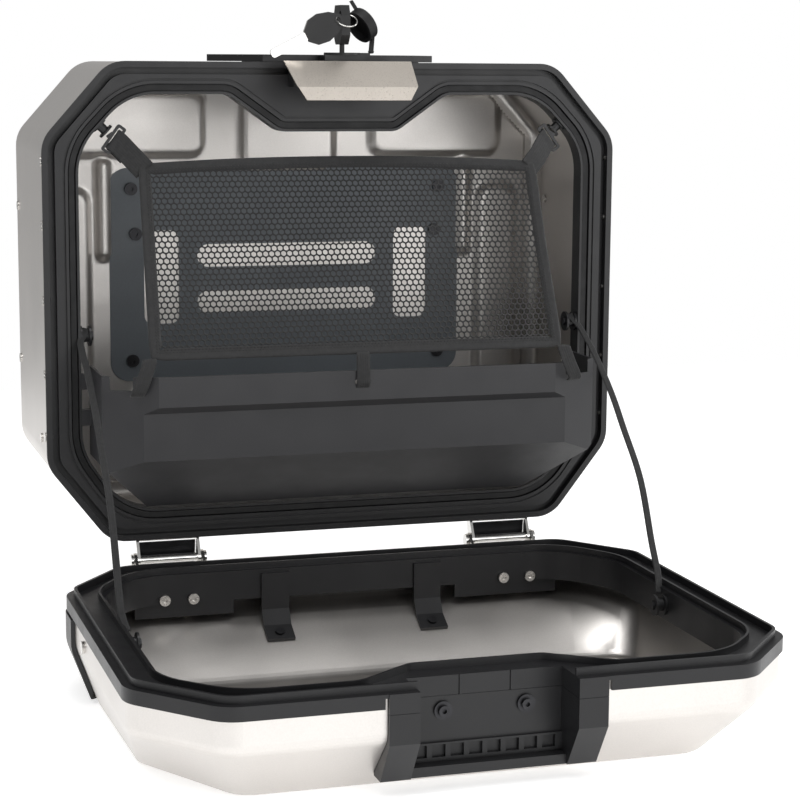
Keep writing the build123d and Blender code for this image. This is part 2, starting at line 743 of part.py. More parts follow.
# ---------------------------------------------------------------- latch
block_half = 46.0
block_front = 19.0
flap_y = ahead(28)
flap_z = up(414.5)
flap_pin_r = 2.5
lock_x, lock_y = 0.0, ahead(9.8)
barrel_r = 7.2
barrel_low, barrel_high = up(404), up(428)
with BuildPart() as latch_housing:
    with BuildSketch(Plane.XY.offset(up(421))):
        with BuildLine():
            Polyline(
                (-69, ahead(-0.6)),
                (69, ahead(-0.6)),
                (106, ahead(-60)),
                (-106, ahead(-60)),
                close=True,
            )
        make_face()
    extrude(amount=6)
    with BuildSketch(Plane.XY.offset(up(421))):
        with Locations((0, ahead(block_front / 2 - 3))):
            Rectangle(36, block_front + 6)
    extrude(amount=6)
    with BuildSketch(Plane.XY.offset(up(420))):
        with Locations((0, ahead(-30))):
            Rectangle(150, 52)
    extrude(amount=1)
    with BuildSketch(Plane.XY.offset(up(399))):
        with Locations((0, ahead((block_front + 0.3) / 2))):
            Rectangle(2 * block_half, block_front - 0.3)
    extrude(amount=22)
    for lug_low in (-38, 30):
        with BuildSketch(side(lug_low)):
            with Locations((flap_y, flap_z)):
                Circle(4.5)
            with Locations((ahead(block_front), up(413))):
                Rectangle(2, 10)
            make_hull()
        extrude(amount=8)
    rod((-60, flap_y, flap_z), (1, 0, 0), flap_pin_r, 120, Mode.SUBTRACT)
    rod((lock_x, lock_y, barrel_low - 0.3), (0, 0, 1), barrel_r + pin_fit, 40, Mode.SUBTRACT)
write(latch_housing, "latch_housing")

with BuildPart() as latch_pin:
    rod((-46, flap_y, flap_z), (1, 0, 0), flap_pin_r, 92)
write(latch_pin, "latch_pin")

with BuildPart() as latch_cover:
    with BuildSketch(side(-latch_half)):
        with BuildLine():
            Polyline(
                (ahead(29.5), up(421.7)),
                (ahead(63.3), up(399.8)),
                (ahead(66.3), up(388.6)),
                (ahead(64.85), up(388.2)),
                (ahead(62.05), up(398.85)),
                (ahead(28.7), up(420.4)),
                close=True,
            )
        make_face()
    extrude(amount=2 * latch_half)
    with BuildSketch(front(100)):
        with BuildLine():
            Polyline(
                (-58, up(424)),
                (58, up(424)),
                (54, up(401)),
                (45.4, up(387)),
                (-45.4, up(387)),
                (-54, up(401)),
                close=True,
            )
        make_face()
    extrude(amount=-100, mode=Mode.INTERSECT)
    for ear_low in (-43, 40):
        with BuildSketch(side(ear_low)):
            with Locations((flap_y, flap_z)):
                Circle(4.5)
            with Locations((ahead(34.5), up(416.8)), (ahead(51), up(406.2))):
                Circle(0.4)
            make_hull()
        extrude(amount=3)
    rod((-60, flap_y, flap_z), (1, 0, 0), flap_pin_r + pin_fit, 120, Mode.SUBTRACT)
write(latch_cover, "latch_cover")

# ---------------------------------------------------------------- lock, keys and dust cap
slot_low = up(408.5)
with BuildPart() as lock_barrel:
    rod((lock_x, lock_y, barrel_low), (0, 0, 1), barrel_r, barrel_high - barrel_low)
    with BuildSketch(Plane.XY.offset(slot_low)):
        with Locations((lock_x, lock_y)):
            Rectangle(2.6, 9)
    extrude(amount=40, mode=Mode.SUBTRACT)
write(lock_barrel, "lock_barrel")

with BuildPart() as lock_bezel:
    with BuildSketch(Plane.XY.offset(up(427))):
        with Locations((lock_x, lock_y)):
            Circle(10.6)
            Circle(barrel_r + 0.3, mode=Mode.SUBTRACT)
    extrude(amount=1.8)
write(lock_bezel, "lock_bezel")

key_head = ((-7, 436), (7, 436), (13, 444), (13, 461), (9, 470), (-9, 470), (-13, 461), (-13, 444))
key_hole = (-8.5, 462.0)
with BuildPart() as key_in_lock:
    with BuildSketch(side(lock_x - 4)):
        with BuildLine():
            Polyline(*[(lock_y + x, up(z)) for x, z in key_head], close=True)
        make_face()
        with Locations((lock_y + key_hole[0], up(key_hole[1]))):
            Circle(3, mode=Mode.SUBTRACT)
    extrude(amount=8)
    fillet(key_in_lock.edges().filter_by(Axis.X).group_by(Axis.Z)[0], 3)
    with BuildSketch(side(lock_x - 1.1)):
        with Locations((lock_y, (slot_low + 0.5 + up(437)) / 2)):
            Rectangle(8.4, up(437) - slot_low - 0.5)
    extrude(amount=2.2)
write(key_in_lock, "key_in_lock")

ring_r = 9.0
ring_lean = (0.0, -0.8, -0.6)
ring_top = Vector(lock_x, lock_y + key_hole[0], up(key_hole[1]))
ring_middle = ring_top + Vector(*ring_lean) * ring_r
with BuildPart() as key_ring:
    with Locations(Plane(origin=ring_middle, x_dir=(1, 0, 0), z_dir=(0, 0.6, -0.8))):
        Torus(ring_r, 0.6)
write(key_ring, "key_ring")

spare_slope = 27.0
spare_run = Vector(-math.cos(math.radians(spare_slope)), 0, -math.sin(math.radians(spare_slope)))
spare_head = ((-5, 3.5), (4, 10), (14, 13), (24, 11.5), (31, 5), (31, -5), (24, -11.5), (14, -13), (4, -10), (-5, -3.5))
with BuildPart() as spare_key:
    spare_hole = ring_middle - Vector(ring_r, 0, 0)
    with BuildSketch(Plane(origin=spare_hole, x_dir=spare_run, z_dir=(0, -1, 0))):
        with BuildLine():
            Polyline(*spare_head, close=True)
        make_face()
        Circle(3, mode=Mode.SUBTRACT)
    extrude(amount=1.7, both=True)
    with BuildSketch(Plane(origin=spare_hole, x_dir=spare_run, z_dir=(0, -1, 0))):
        with Locations((48, 0)):
            RectangleRounded(36, 7.6, 3)
    extrude(amount=1.1, both=True)
write(spare_key, "spare_key")

cap_hinge = Vector(31, ahead(-5), up(430))
with BuildPart() as lock_cap_ring:
    with BuildSketch(Plane.XY.offset(up(427))):
        with Locations((lock_x, lock_y)):
            Circle(16)
        with Locations((18, ahead(-5))):
            Rectangle(22, 8)
        with Locations((lock_x, lock_y)):
            Circle(11, mode=Mode.SUBTRACT)
    extrude(amount=2)
write(lock_cap_ring, "lock_cap_ring")

cap_axis = Vector(-0.8, -0.3, -0.52).normalized()
cap_middle = Vector(23, ahead(-8), up(453))
cap_rise = Vector(-0.55, 0, 0.84)
with BuildPart() as lock_cap:
    rod(cap_middle - cap_axis * 5, cap_axis, 15, 9)
    rod(cap_middle - cap_axis * 3, cap_axis, 12.6, 9, Mode.SUBTRACT)
    strip(cap_hinge, cap_middle - cap_rise * 13 - cap_axis * 4, 8, 2.2, (0, 1, 0))
    strip(cap_middle + cap_rise * 13 - cap_axis * 4, cap_middle + cap_rise * 23 - cap_axis * 4, 6, 2, (0, 1, 0))
    rod(cap_hinge - Vector(0, 4, 0), (0, 1, 0), 1.6, 8)
write(lock_cap, "lock_cap")

# ---------------------------------------------------------------- cargo net
net_plane = Plane(origin=(0, ahead(44), up(252)), x_dir=(1, 0, 0), z_dir=(0, -0.922, 0.387))
net_half = 87.8
net_bow = 6.0
net_edge = 6.0


def net_outline(inset):
    """The net's outline, bowed up along its top edge, drawn in by inset."""
    with BuildSketch() as flat:
        with BuildLine():
            Polyline(
                (-182, net_half),
                (-90, net_half + net_bow * 0.75),
                (0, net_half + net_bow),
                (90, net_half + net_bow * 0.75),
                (182, net_half),
                (186, -net_half),
                (-186, -net_half),
                close=True,
            )
        make_face()
        offset(amount=-inset, kind=Kind.INTERSECTION)
    return flat.sketch


with BuildPart() as cargo_net:
    with BuildSketch(net_plane):
        add(net_outline(net_edge + 0.4))
    extrude(amount=0.7, both=True)
write(cargo_net, "cargo_net")

with BuildPart() as net_binding:
    with BuildSketch(net_plane):
        add(ring(net_outline(0), net_outline(net_edge)))
    extrude(amount=1.2, both=True)
write(net_binding, "net_binding")

with BuildPart() as net_lower_straps:
    for x_low, x_high in ((-187, -197), (0, 0), (187, 197)):
        strip((x_high, ahead(82.2), up(143)), (x_low, ahead(80.8), up(167)), 12, 1.4)
write(net_lower_straps, "net_lower_straps")

hook_middle = Vector(200.5, ahead(-3), up(353.7))
hook_lean = Vector(0.588, 0, 0.809)
with BuildPart() as net_upper_straps:
    for sign in (-1, 1):
        strip((sign * 186.3, ahead(6.8), up(338.7)), (sign * 198, ahead(-0.6), up(351.6)), 16, 1.4,
              (-sign * hook_lean.X, 0, hook_lean.Z))
write(net_upper_straps, "net_upper_straps")

with BuildPart() as net_hooks:
    for sign in (-1, 1):
        with BuildSketch(Plane(origin=(sign * hook_middle.X, hook_middle.Y, hook_middle.Z),
                               x_dir=(-sign * hook_lean.X, 0, hook_lean.Z), z_dir=(0, -1, 0))):
            RectangleRounded(27, 9, 2)
            Rectangle(22, 4, mode=Mode.SUBTRACT)
        extrude(amount=1, both=True)
        strip((sign * 203.3, hook_middle.Y, up(356.4)), (sign * 204.7, hook_middle.Y, up(358.4)), 6, 1.6,
              (sign * 0.684, 0, -0.73))
write(net_hooks, "net_hooks")

spool_wall = Vector(212.4, ahead(-9), up(366.1))
spool_in = Vector(-0.73, 0, -0.684).normalized()
with BuildPart() as net_spools:
    for sign in (-1, 1):
        inward = Vector(sign * spool_in.X, 0, spool_in.Z)
        wall = Vector(sign * spool_wall.X, spool_wall.Y, spool_wall.Z)
        for reach, radius, thick in ((0.2, 7, 1.4), (1.6, 4, 6), (7.6, 7, 1.6)):
            rod(wall + inward * reach, inward, radius, thick)
write(net_spools, "net_spools")

# ---------------------------------------------------------------- check straps and anchors
anchor_depth = 6.0
with BuildPart() as strap_anchors_body:
    for sign in (-1, 1):
        for reach, radius, thick in ((0, 9, 2), (2, 5.5, 6), (8, 9, 2)):
            rod((sign * (half_w - rim_w - reach), ahead(-anchor_depth - 4), up(anchor_z)), (-sign, 0, 0),
                radius, thick)
        rod((sign * half_w, ahead(-anchor_depth - 4), up(anchor_z)), (-sign, 0, 0), 2.0, 60, Mode.SUBTRACT)
write(strap_anchors_body, "strap_anchors_body")

with BuildPart() as strap_anchor_screws:
    for sign in (-1, 1):
        rod((sign * (half_w - rim_w), ahead(-anchor_depth - 4), up(anchor_z)), (-sign, 0, 0), 1.95, 10)
        rod((sign * (half_w - rim_w - 10), ahead(-anchor_depth - 4), up(anchor_z)), (-sign, 0, 0), 4, 1.8)
write(strap_anchor_screws, "strap_anchor_screws")

strap_path = ((2.5, 178), (40, 158), (80, 129), (110, 101), (150, 62), (177, 12), (192, -13))
for side_name, sign in (("left", -1), ("right", 1)):
    with BuildPart() as check_strap:
        with BuildSketch(side(sign * strap_x - strap_w / 2)):
            with BuildLine():
                strap_line = Polyline(*[(ahead(y), up(z)) for y, z in strap_path])
            trace(strap_line, line_width=strap_t)
        extrude(amount=strap_w)
    write(check_strap, f"check_strap_{side_name}")
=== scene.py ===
import math

import bmesh
import bpy
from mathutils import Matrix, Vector


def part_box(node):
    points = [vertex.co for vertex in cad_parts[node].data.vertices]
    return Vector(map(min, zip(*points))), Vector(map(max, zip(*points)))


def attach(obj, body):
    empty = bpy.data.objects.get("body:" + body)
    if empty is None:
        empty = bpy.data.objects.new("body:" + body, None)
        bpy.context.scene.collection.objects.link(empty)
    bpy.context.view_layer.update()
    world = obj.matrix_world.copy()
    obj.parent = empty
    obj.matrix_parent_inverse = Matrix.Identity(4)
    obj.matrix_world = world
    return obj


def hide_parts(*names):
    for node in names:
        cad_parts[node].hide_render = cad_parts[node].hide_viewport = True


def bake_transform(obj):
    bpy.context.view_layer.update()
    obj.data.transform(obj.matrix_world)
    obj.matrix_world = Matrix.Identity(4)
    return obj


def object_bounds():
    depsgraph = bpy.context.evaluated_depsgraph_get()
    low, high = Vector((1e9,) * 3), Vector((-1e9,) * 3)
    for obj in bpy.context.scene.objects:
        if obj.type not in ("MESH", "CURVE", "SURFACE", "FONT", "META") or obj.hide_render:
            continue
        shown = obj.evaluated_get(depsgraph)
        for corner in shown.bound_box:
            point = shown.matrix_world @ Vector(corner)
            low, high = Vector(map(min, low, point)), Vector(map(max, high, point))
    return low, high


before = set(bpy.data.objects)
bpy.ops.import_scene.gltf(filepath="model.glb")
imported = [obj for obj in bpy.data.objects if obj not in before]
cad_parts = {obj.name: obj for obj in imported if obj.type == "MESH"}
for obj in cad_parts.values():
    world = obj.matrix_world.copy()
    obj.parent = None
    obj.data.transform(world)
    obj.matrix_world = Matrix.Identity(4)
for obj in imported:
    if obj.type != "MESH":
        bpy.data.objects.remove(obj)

cad_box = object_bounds()

# ------------------------------------------------------------------ camera
CAMERA_PLACE = Vector((-0.5129, -2.0323, 0.2112))
CAMERA_YAW = math.radians(17.31)
CAMERA_PITCH = math.radians(9.02)
CAMERA_ROLL = math.radians(0.41)
CAMERA_LENS = 95.8


def make_camera():
    ahead = Vector((
        math.sin(CAMERA_YAW) * math.cos(CAMERA_PITCH),
        math.cos(CAMERA_YAW) * math.cos(CAMERA_PITCH),
        -math.sin(CAMERA_PITCH),
    ))
    level_right = Vector((math.cos(CAMERA_YAW), -math.sin(CAMERA_YAW), 0))
    level_up = level_right.cross(ahead)
    right = math.cos(CAMERA_ROLL) * level_right + math.sin(CAMERA_ROLL) * level_up
    up = right.cross(ahead)
    data = bpy.data.cameras.new("camera")
    data.lens = CAMERA_LENS
    data.sensor_width = 36
    data.clip_end = 50
    camera = bpy.data.objects.new("camera", data)
    bpy.context.scene.collection.objects.link(camera)
    matrix = camera.matrix_world.copy()
    for row in range(3):
        matrix[row][0] = right[row]
        matrix[row][1] = up[row]
        matrix[row][2] = -ahead[row]
        matrix[row][3] = CAMERA_PLACE[row]
    camera.matrix_world = matrix
    bpy.context.scene.camera = camera


# ------------------------------------------------------------------ light and floor
FLOOR_SIZE = 5.2
FLOOR_Y = -1.2
FILL_STRENGTH = 0.40
BACKDROP_STRENGTH = 1.0
FLOOR_GLOW = 0.52
FLOOR_GAP = 0.0005
FLOOR_WHITE = 0.94
FLOOR_ROUGH = 0.7
WHITE = (1.0, 1.0, 1.0, 1.0)

# name, place, target, size, watts
LIGHTS = (
    ("key", (-1.3, -1.9, 2.0), (0, -0.2, 0), (1.8, 1.0), 24),
    ("front", (1.0, -2.7, 0.45), (0, 0, 0.0), (2.2, 1.4), 23),
    ("side", (2.2, -0.6, 0.9), (0, -0.2, 0), (0.8, 1.6), 18),
    ("top", (0.1, -0.7, 2.3), (0, -0.4, -0.3), (1.5, 1.0), 22),
)


def area_light(name, place, target, size, watts):
    data = bpy.data.lights.new(name, "AREA")
    data.shape = "RECTANGLE"
    data.size = size[0]
    data.size_y = size[1]
    data.energy = watts
    light = bpy.data.objects.new(name, data)
    light.location = place
    light.rotation_euler = (Vector(target) - Vector(place)).to_track_quat("-Z", "Y").to_euler()
    bpy.context.scene.collection.objects.link(light)


def make_light():
    """White to the camera, a dimmer white fill to everything else, and four area lights."""
    world = bpy.data.worlds.new("studio")
    bpy.context.scene.world = world
    bpy.context.scene.view_settings.view_transform = "Standard"
    world.use_nodes = True
    tree = world.node_tree
    fill = tree.nodes["Background"]
    fill.inputs["Color"].default_value = WHITE
    fill.inputs["Strength"].default_value = FILL_STRENGTH
    backdrop = tree.nodes.new("ShaderNodeBackground")
    backdrop.inputs["Color"].default_value = WHITE
    backdrop.inputs["Strength"].default_value = BACKDROP_STRENGTH
    ray = tree.nodes.new("ShaderNodeLightPath")
    mix = tree.nodes.new("ShaderNodeMixShader")
    tree.links.new(ray.outputs["Is Camera Ray"], mix.inputs[0])
    tree.links.new(fill.outputs[0], mix.inputs[1])
    tree.links.new(backdrop.outputs[0], mix.inputs[2])
    tree.links.new(mix.outputs[0], tree.nodes["World Output"].inputs["Surface"])
    for light in LIGHTS:
        area_light(*light)


def make_floor():
    lowest = cad_box[0][2]
    bpy.ops.mesh.primitive_plane_add(size=FLOOR_SIZE, location=(0, FLOOR_Y, lowest - FLOOR_GAP))
    floor = bpy.context.object
    floor.name = "floor"
    material = bpy.data.materials.new("floor_white")
    material.use_nodes = True
    shader = material.node_tree.nodes["Principled BSDF"]
    shader.inputs["Base Color"].default_value = (FLOOR_WHITE, FLOOR_WHITE, FLOOR_WHITE, 1)
    shader.inputs["Roughness"].default_value = FLOOR_ROUGH
    shader.inputs["Emission Color"].default_value = WHITE
    shader.inputs["Emission Strength"].default_value = FLOOR_GLOW
    floor.data.materials.append(material)


# ------------------------------------------------------------------ materials
NOISE_ROUGHNESS = 0.55
TINT_RANGE = (0.35, 0.7)
ROUGH_RANGE = (0.3, 0.7)
LOWEST_ROUGH = 0.03


class Surface:
    """A Principled material, with helpers for the procedural detail on it."""

    def __init__(self, name, colour, rough, metallic=0.0):
        self.material = bpy.data.materials.new(name)
        self.material.use_nodes = True
        self.tree = self.material.node_tree
        self.shader = self.tree.nodes["Principled BSDF"]
        self.colour = colour
        self.rough = rough
        self.shader.inputs["Base Color"].default_value = (*colour, 1)
        self.shader.inputs["Roughness"].default_value = rough
        self.shader.inputs["Metallic"].default_value = metallic
        self.place = self.tree.nodes.new("ShaderNodeTexCoord").outputs["Object"]

    def noise(self, scale, stretch=(1, 1, 1), detail=3.0):
        mapping = self.tree.nodes.new("ShaderNodeMapping")
        mapping.inputs["Scale"].default_value = stretch
        self.tree.links.new(self.place, mapping.inputs["Vector"])
        texture = self.tree.nodes.new("ShaderNodeTexNoise")
        texture.inputs["Scale"].default_value = scale
        texture.inputs["Detail"].default_value = detail
        texture.inputs["Roughness"].default_value = NOISE_ROUGHNESS
        self.tree.links.new(mapping.outputs["Vector"], texture.inputs["Vector"])
        return texture.outputs["Fac"]

    def ramp(self, value, low, high, out_low, out_high):
        node = self.tree.nodes.new("ShaderNodeMapRange")
        node.inputs["From Min"].default_value = low
        node.inputs["From Max"].default_value = high
        node.inputs["To Min"].default_value = out_low
        node.inputs["To Max"].default_value = out_high
        self.tree.links.new(value, node.inputs["Value"])
        return node.outputs["Result"]

    def tint(self, value, other, amount):
        """Moves the colour towards another where the value is high."""
        share = self.ramp(value, *TINT_RANGE, 0.0, amount)
        mix = self.tree.nodes.new("ShaderNodeMix")
        mix.data_type = "RGBA"
        colour_inputs = [s for s in mix.inputs if s.type == "RGBA"]
        socket = self.shader.inputs["Base Color"]
        if socket.is_linked:
            self.tree.links.new(socket.links[0].from_socket, colour_inputs[0])
        else:
            colour_inputs[0].default_value = (*self.colour, 1)
        colour_inputs[1].default_value = (*other, 1)
        self.tree.links.new(share, mix.inputs["Factor"])
        result = [s for s in mix.outputs if s.type == "RGBA"][0]
        self.tree.links.new(result, socket)

    def roughen(self, value, spread):
        lowest = max(LOWEST_ROUGH, self.rough - spread)
        result = self.ramp(value, *ROUGH_RANGE, lowest, self.rough + spread)
        self.tree.links.new(result, self.shader.inputs["Roughness"])

    def bump(self, value, depth, strength=1.0):
        node = self.tree.nodes.new("ShaderNodeBump")
        node.inputs["Distance"].default_value = depth
        node.inputs["Strength"].default_value = strength
        self.tree.links.new(value, node.inputs["Height"])
        normal = self.shader.inputs["Normal"]
        if normal.is_linked:
            self.tree.links.new(normal.links[0].from_socket, node.inputs["Normal"])
        self.tree.links.new(node.outputs["Normal"], normal)


def blasted_aluminium(name, colour, rough):
    """Bead-blasted sheet: a fine even grain, with faint hand marks that change its gloss."""
    s = Surface(name, colour, rough, 1.0)
    s.tint(s.noise(5.0, detail=4), tuple(c * 0.86 for c in colour), 0.55)
    s.tint(s.noise(900, detail=2), tuple(min(1, c * 1.08) for c in colour), 0.5)
    s.roughen(s.noise(9.0, detail=5), 0.05)
    s.bump(s.noise(1500, detail=2), 0.00010, 0.35)
    s.bump(s.noise(14, detail=2), 0.0016, 0.10)
    return s.material


def moulded_plastic(name, colour, rough, grain):
    """Spark-eroded black plastic, a little paler where it is handled."""
    s = Surface(name, colour, rough)
    s.shader.inputs["Specular IOR Level"].default_value = 0.36
    s.tint(s.noise(12, detail=2), tuple(c * 1.15 for c in colour), 0.5)
    s.tint(s.noise(900, detail=2), tuple(c * 0.75 for c in colour), 0.35)
    s.roughen(s.noise(40, detail=3), 0.04)
    s.bump(s.noise(grain, detail=3), 0.00012, 0.5)
    s.bump(s.noise(30, detail=2), 0.0006, 0.06)
    return s.material


def brushed_steel(name, colour, rough, along):
    """Steel with grinding lines that run along one axis."""
    s = Surface(name, colour, rough, 1.0)
    stretch = [60.0, 60.0, 60.0]
    stretch[along] = 1.5
    lines = s.noise(26, stretch=stretch, detail=5)
    s.tint(lines, tuple(c * 0.8 for c in colour), 0.5)
    s.roughen(lines, 0.07)
    s.bump(lines, 0.00006, 0.5)
    s.tint(s.noise(30, detail=4), tuple(c * 0.9 for c in colour), 0.4)
    return s.material


def turned_steel(name, colour, rough):
    """Plated fasteners, with small pits and a dull film."""
    s = Surface(name, colour, rough, 1.0)
    s.tint(s.noise(120, detail=5), tuple(c * 0.72 for c in colour), 0.6)
    s.roughen(s.noise(240, detail=4), 0.08)
    s.bump(s.noise(1100, detail=2), 0.00006, 0.35)
    return s.material


def painted_plate(name, colour, rough):
    s = Surface(name, colour, rough)
    s.tint(s.noise(9, detail=3), tuple(c * 0.8 for c in colour), 0.5)
    s.tint(s.noise(500, detail=3), tuple(min(1, c * 1.25) for c in colour), 0.2)
    s.roughen(s.noise(25, detail=3), 0.06)
    s.bump(s.noise(420, detail=3), 0.00018, 0.5)
    return s.material


def soft_rubber(name, colour, rough):
    s = Surface(name, colour, rough)
    s.shader.inputs["Specular IOR Level"].default_value = 0.3
    s.tint(s.noise(80, detail=4), tuple(c * 1.3 for c in colour), 0.3)
    s.roughen(s.noise(120, detail=4), 0.08)
    s.bump(s.noise(800, detail=3), 0.00012, 0.5)
    return s.material


def woven(name, colour, rough, rib, across):
    """Woven tape: ribs along the tape and picks across it."""
    s = Surface(name, colour, rough)
    s.shader.inputs["Sheen Weight"].default_value = 0.08
    s.shader.inputs["Sheen Roughness"].default_value = 0.5
    weave = s.tree.nodes.new("ShaderNodeTexWave")
    weave.wave_type = "BANDS"
    weave.bands_direction = across
    weave.inputs["Scale"].default_value = rib
    weave.inputs["Distortion"].default_value = 1.2
    weave.inputs["Detail"].default_value = 2
    s.tree.links.new(s.place, weave.inputs["Vector"])
    s.tint(weave.outputs["Fac"], tuple(c * 1.5 for c in colour), 0.4)
    s.tint(s.noise(260, detail=3), tuple(c * 0.6 for c in colour), 0.4)
    s.roughen(s.noise(300, detail=3), 0.08)
    s.bump(weave.outputs["Fac"], 0.0003, 0.6)
    s.bump(s.noise(1400, detail=2), 0.00015, 0.5)
    return s.material


def make_materials():
    return {
        "aluminium": blasted_aluminium("aluminium_blasted", (0.63, 0.605, 0.58), 0.37),
        "plastic": moulded_plastic("plastic_black", (0.0095, 0.0095, 0.0105), 0.38, 1500),
        "bin": moulded_plastic("plastic_bin", (0.020, 0.020, 0.022), 0.46, 1100),
        "rubber": soft_rubber("rubber_black", (0.007, 0.007, 0.0075), 0.55),
        "steel": turned_steel("steel_plated", (0.70, 0.68, 0.65), 0.28),
        "polished": brushed_steel("steel_polished", (0.76, 0.75, 0.73), 0.20, 0),
        "warm": brushed_steel("steel_warm", (0.74, 0.68, 0.61), 0.32, 2),
        "chrome": turned_steel("chrome_bright", (0.60, 0.59, 0.57), 0.20),
        "slate": painted_plate("plate_slate", (0.125, 0.142, 0.158), 0.42),
        "black_steel": turned_steel("steel_black", (0.045, 0.045, 0.048), 0.38),
        "webbing": woven("webbing_black", (0.0085, 0.0085, 0.009), 0.75, 330, "X"),
        "net": woven("net_yarn", (0.0055, 0.0055, 0.006), 0.7, 900, "Z"),
        "key": moulded_plastic("key_plastic", (0.009, 0.009, 0.0095), 0.5, 900),
    }


FINISH = {
    "aluminium": ("body_shell", "lid_shell"),
    "plastic": ("body_frame", "lid_frame", "lid_grip_cover", "latch_housing", "corner_guards",
                "net_hooks", "net_spools", "strap_anchors_body", "strap_spools_lid", "lock_cap_ring",
                "docking_plate", "lid_braces"),
    "bin": ("storage_bin",),
    "rubber": ("lock_cap",),
    "steel": ("body_rivets", "hinge_rivets_body", "hinge_bolts_lid", "lid_side_bolts",
              "drain_eyelets", "bin_screws", "latch_pin"),
    "polished": ("hinge_leaf_body_left", "hinge_leaf_body_right", "hinge_leaf_lid_left",
                 "hinge_leaf_lid_right", "hinge_pin_left", "hinge_pin_right"),
    "warm": ("latch_cover",),
    "chrome": ("lock_bezel", "lock_barrel", "key_ring"),
    "slate": ("backing_plate",),
    "black_steel": ("backing_screws", "strap_anchor_screws", "spool_screws", "brace_screws", "grip_screws"),
    "key": ("key_in_lock", "spare_key"),
}


def dress_nodes(materials):
    for finish, nodes in FINISH.items():
        for node in nodes:
            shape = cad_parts[node].data
            shape.materials.clear()
            shape.materials.append(materials[finish])


SPARE_BLADE = 0.036


def steel_blades(materials):
    """The keys have moulded heads and steel blades, split where the blade leaves the head."""
    lock_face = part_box("lock_bezel")[1][2]
    blade_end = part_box("spare_key")[0][0] + SPARE_BLADE
    for node, axis, limit in (("key_in_lock", 2, lock_face), ("spare_key", 0, blade_end)):
        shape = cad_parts[node].data
        shape.materials.append(materials["chrome"])
        for face in shape.polygons:
            if all(shape.vertices[v].co[axis] < limit for v in face.vertices):
                face.material_index = 1


# ------------------------------------------------------------------ mesh helpers
def new_piece(name, verts, faces, material, body, smooth=True):
    """A mesh piece. body is None where the piece is attached to its body later, or left without one."""
    data = bpy.data.meshes.new(name)
    data.from_pydata([tuple(v) for v in verts], [], faces)
    data.validate()
    shape = bmesh.new()
    shape.from_mesh(data)
    bmesh.ops.recalc_face_normals(shape, faces=shape.faces)
    shape.to_mesh(data)
    shape.free()
    for face in data.polygons:
        face.use_smooth = smooth
    data.materials.append(material)
    piece = bpy.data.objects.new(name, data)
    bpy.context.scene.collection.objects.link(piece)
    if body:
        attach(piece, body)
    return piece


def sweep(path, widths, profile, closed=False):
    """Verts and faces of a profile carried along a path. widths gives the two cross
    directions at each point; profile is a closed loop of (across, out) pairs."""
    verts = []
    for point, (across, out) in zip(path, widths):
        for a, b in profile:
            verts.append(point + across * a + out * b)
    count = len(profile)
    rows = len(path)
    faces = []
    last = rows if closed else rows - 1
    for row in range(last):
        following = (row + 1) % rows
        for k in range(count):
            other = (k + 1) % count
            faces.append((row * count + k, row * count + other, following * count + other,
                          following * count + k))
    if not closed:
        faces.append(tuple(range(count))[::-1])
        faces.append(tuple((rows - 1) * count + k for k in range(count)))
    return verts, faces


RIB_DEPTH = 0.00015
PATH_STEPS = 6


def tape_profile(width, thick, ribs):
    """Cross-section of a ribbed tape with rounded edges."""
    steps = ribs * 4
    top = []
    for i in range(steps + 1):
        x = -width / 2 + width * i / steps
        edge = min(1.0, (width / 2 - abs(x)) / (thick * 0.5) + 0.25)
        rib = RIB_DEPTH * (0.5 + 0.5 * math.cos(2 * math.pi * i / 4))
        top.append((x, thick / 2 * edge + rib * edge))
    bottom = [(x, -z) for x, z in reversed(top)]
    return top + bottom


def smooth_path(points):
    """A smooth path through the points (Catmull-Rom)."""
    path = []
    count = len(points)
    for i in range(count - 1):
        before = points[max(0, i - 1)]
        a, b = points[i], points[i + 1]
        after = points[min(count - 1, i + 2)]
        for step in range(PATH_STEPS):
            t = step / PATH_STEPS
            path.append(0.5 * (2 * a + (b - before) * t + (2 * before - 5 * a + 4 * b - after) * t**2
                               + (3 * a - before - 3 * b + after) * t**3))
    path.append(points[-1])
    return path


def tape(name, points, width, thick, across, material, body, ribs):
    """A ribbed tape along the points. across is the direction of its width."""
    path = smooth_path(points)
    across = Vector(across)
    frames = []
    for i in range(len(path)):
        run = (path[min(i + 1, len(path) - 1)] - path[max(i - 1, 0)]).normalized()
        side = (across - run * across.dot(run)).normalized()
        frames.append((side, side.cross(run)))
    verts, faces = sweep(path, frames, tape_profile(width, thick, ribs))
    return new_piece(name, verts, faces, material, body)


# ------------------------------------------------------------------ cargo net
NET_ORIGIN = Vector((0, -0.242, 0.042))
NET_UP = Vector((0, 0.387, 0.922))
NET_OUT = Vector((0, -0.922, 0.387))
NET_HALF = 0.0878
NET_TOP_HALF = 0.182
NET_LOW_HALF = 0.186
NET_BOW = 0.006
CELL = 0.0053
CELL_RISE = 0.0049
HOLE = 0.80
YARN = 0.0007
BINDING_W = 0.0105
BINDING_T = 0.0025
EDGE_MARGIN = 0.0045
HOLE_WIDE = 0.54
HOLE_HIGH = 0.60
HOLE_FLAT = 0.94
SAG = 0.0016
STITCH_PITCH = 0.0030
STITCH_ROWS = (0.0066, 0.0088)
STITCH_HALF_LENGTH = 0.00095
STITCH_HALF_WIDTH = 0.00028
STITCH_BASE = 0.00080
STITCH_RISE = 0.00035
NET_STRAP_T = 0.0014
UPPER_STRAP_W = 0.0195
LOWER_STRAP_W = 0.012


def net_point(x, v, out=0.0):
    """A point of the slightly sagging net, x across it, v up it and out towards the lid."""
    sag = SAG * math.sin(x * 23 + 1.0) * math.cos(v * 30) * (1 - (v / NET_HALF) ** 2)
    return NET_ORIGIN + Vector((x, 0, 0)) + NET_UP * v + NET_OUT * (out + sag)


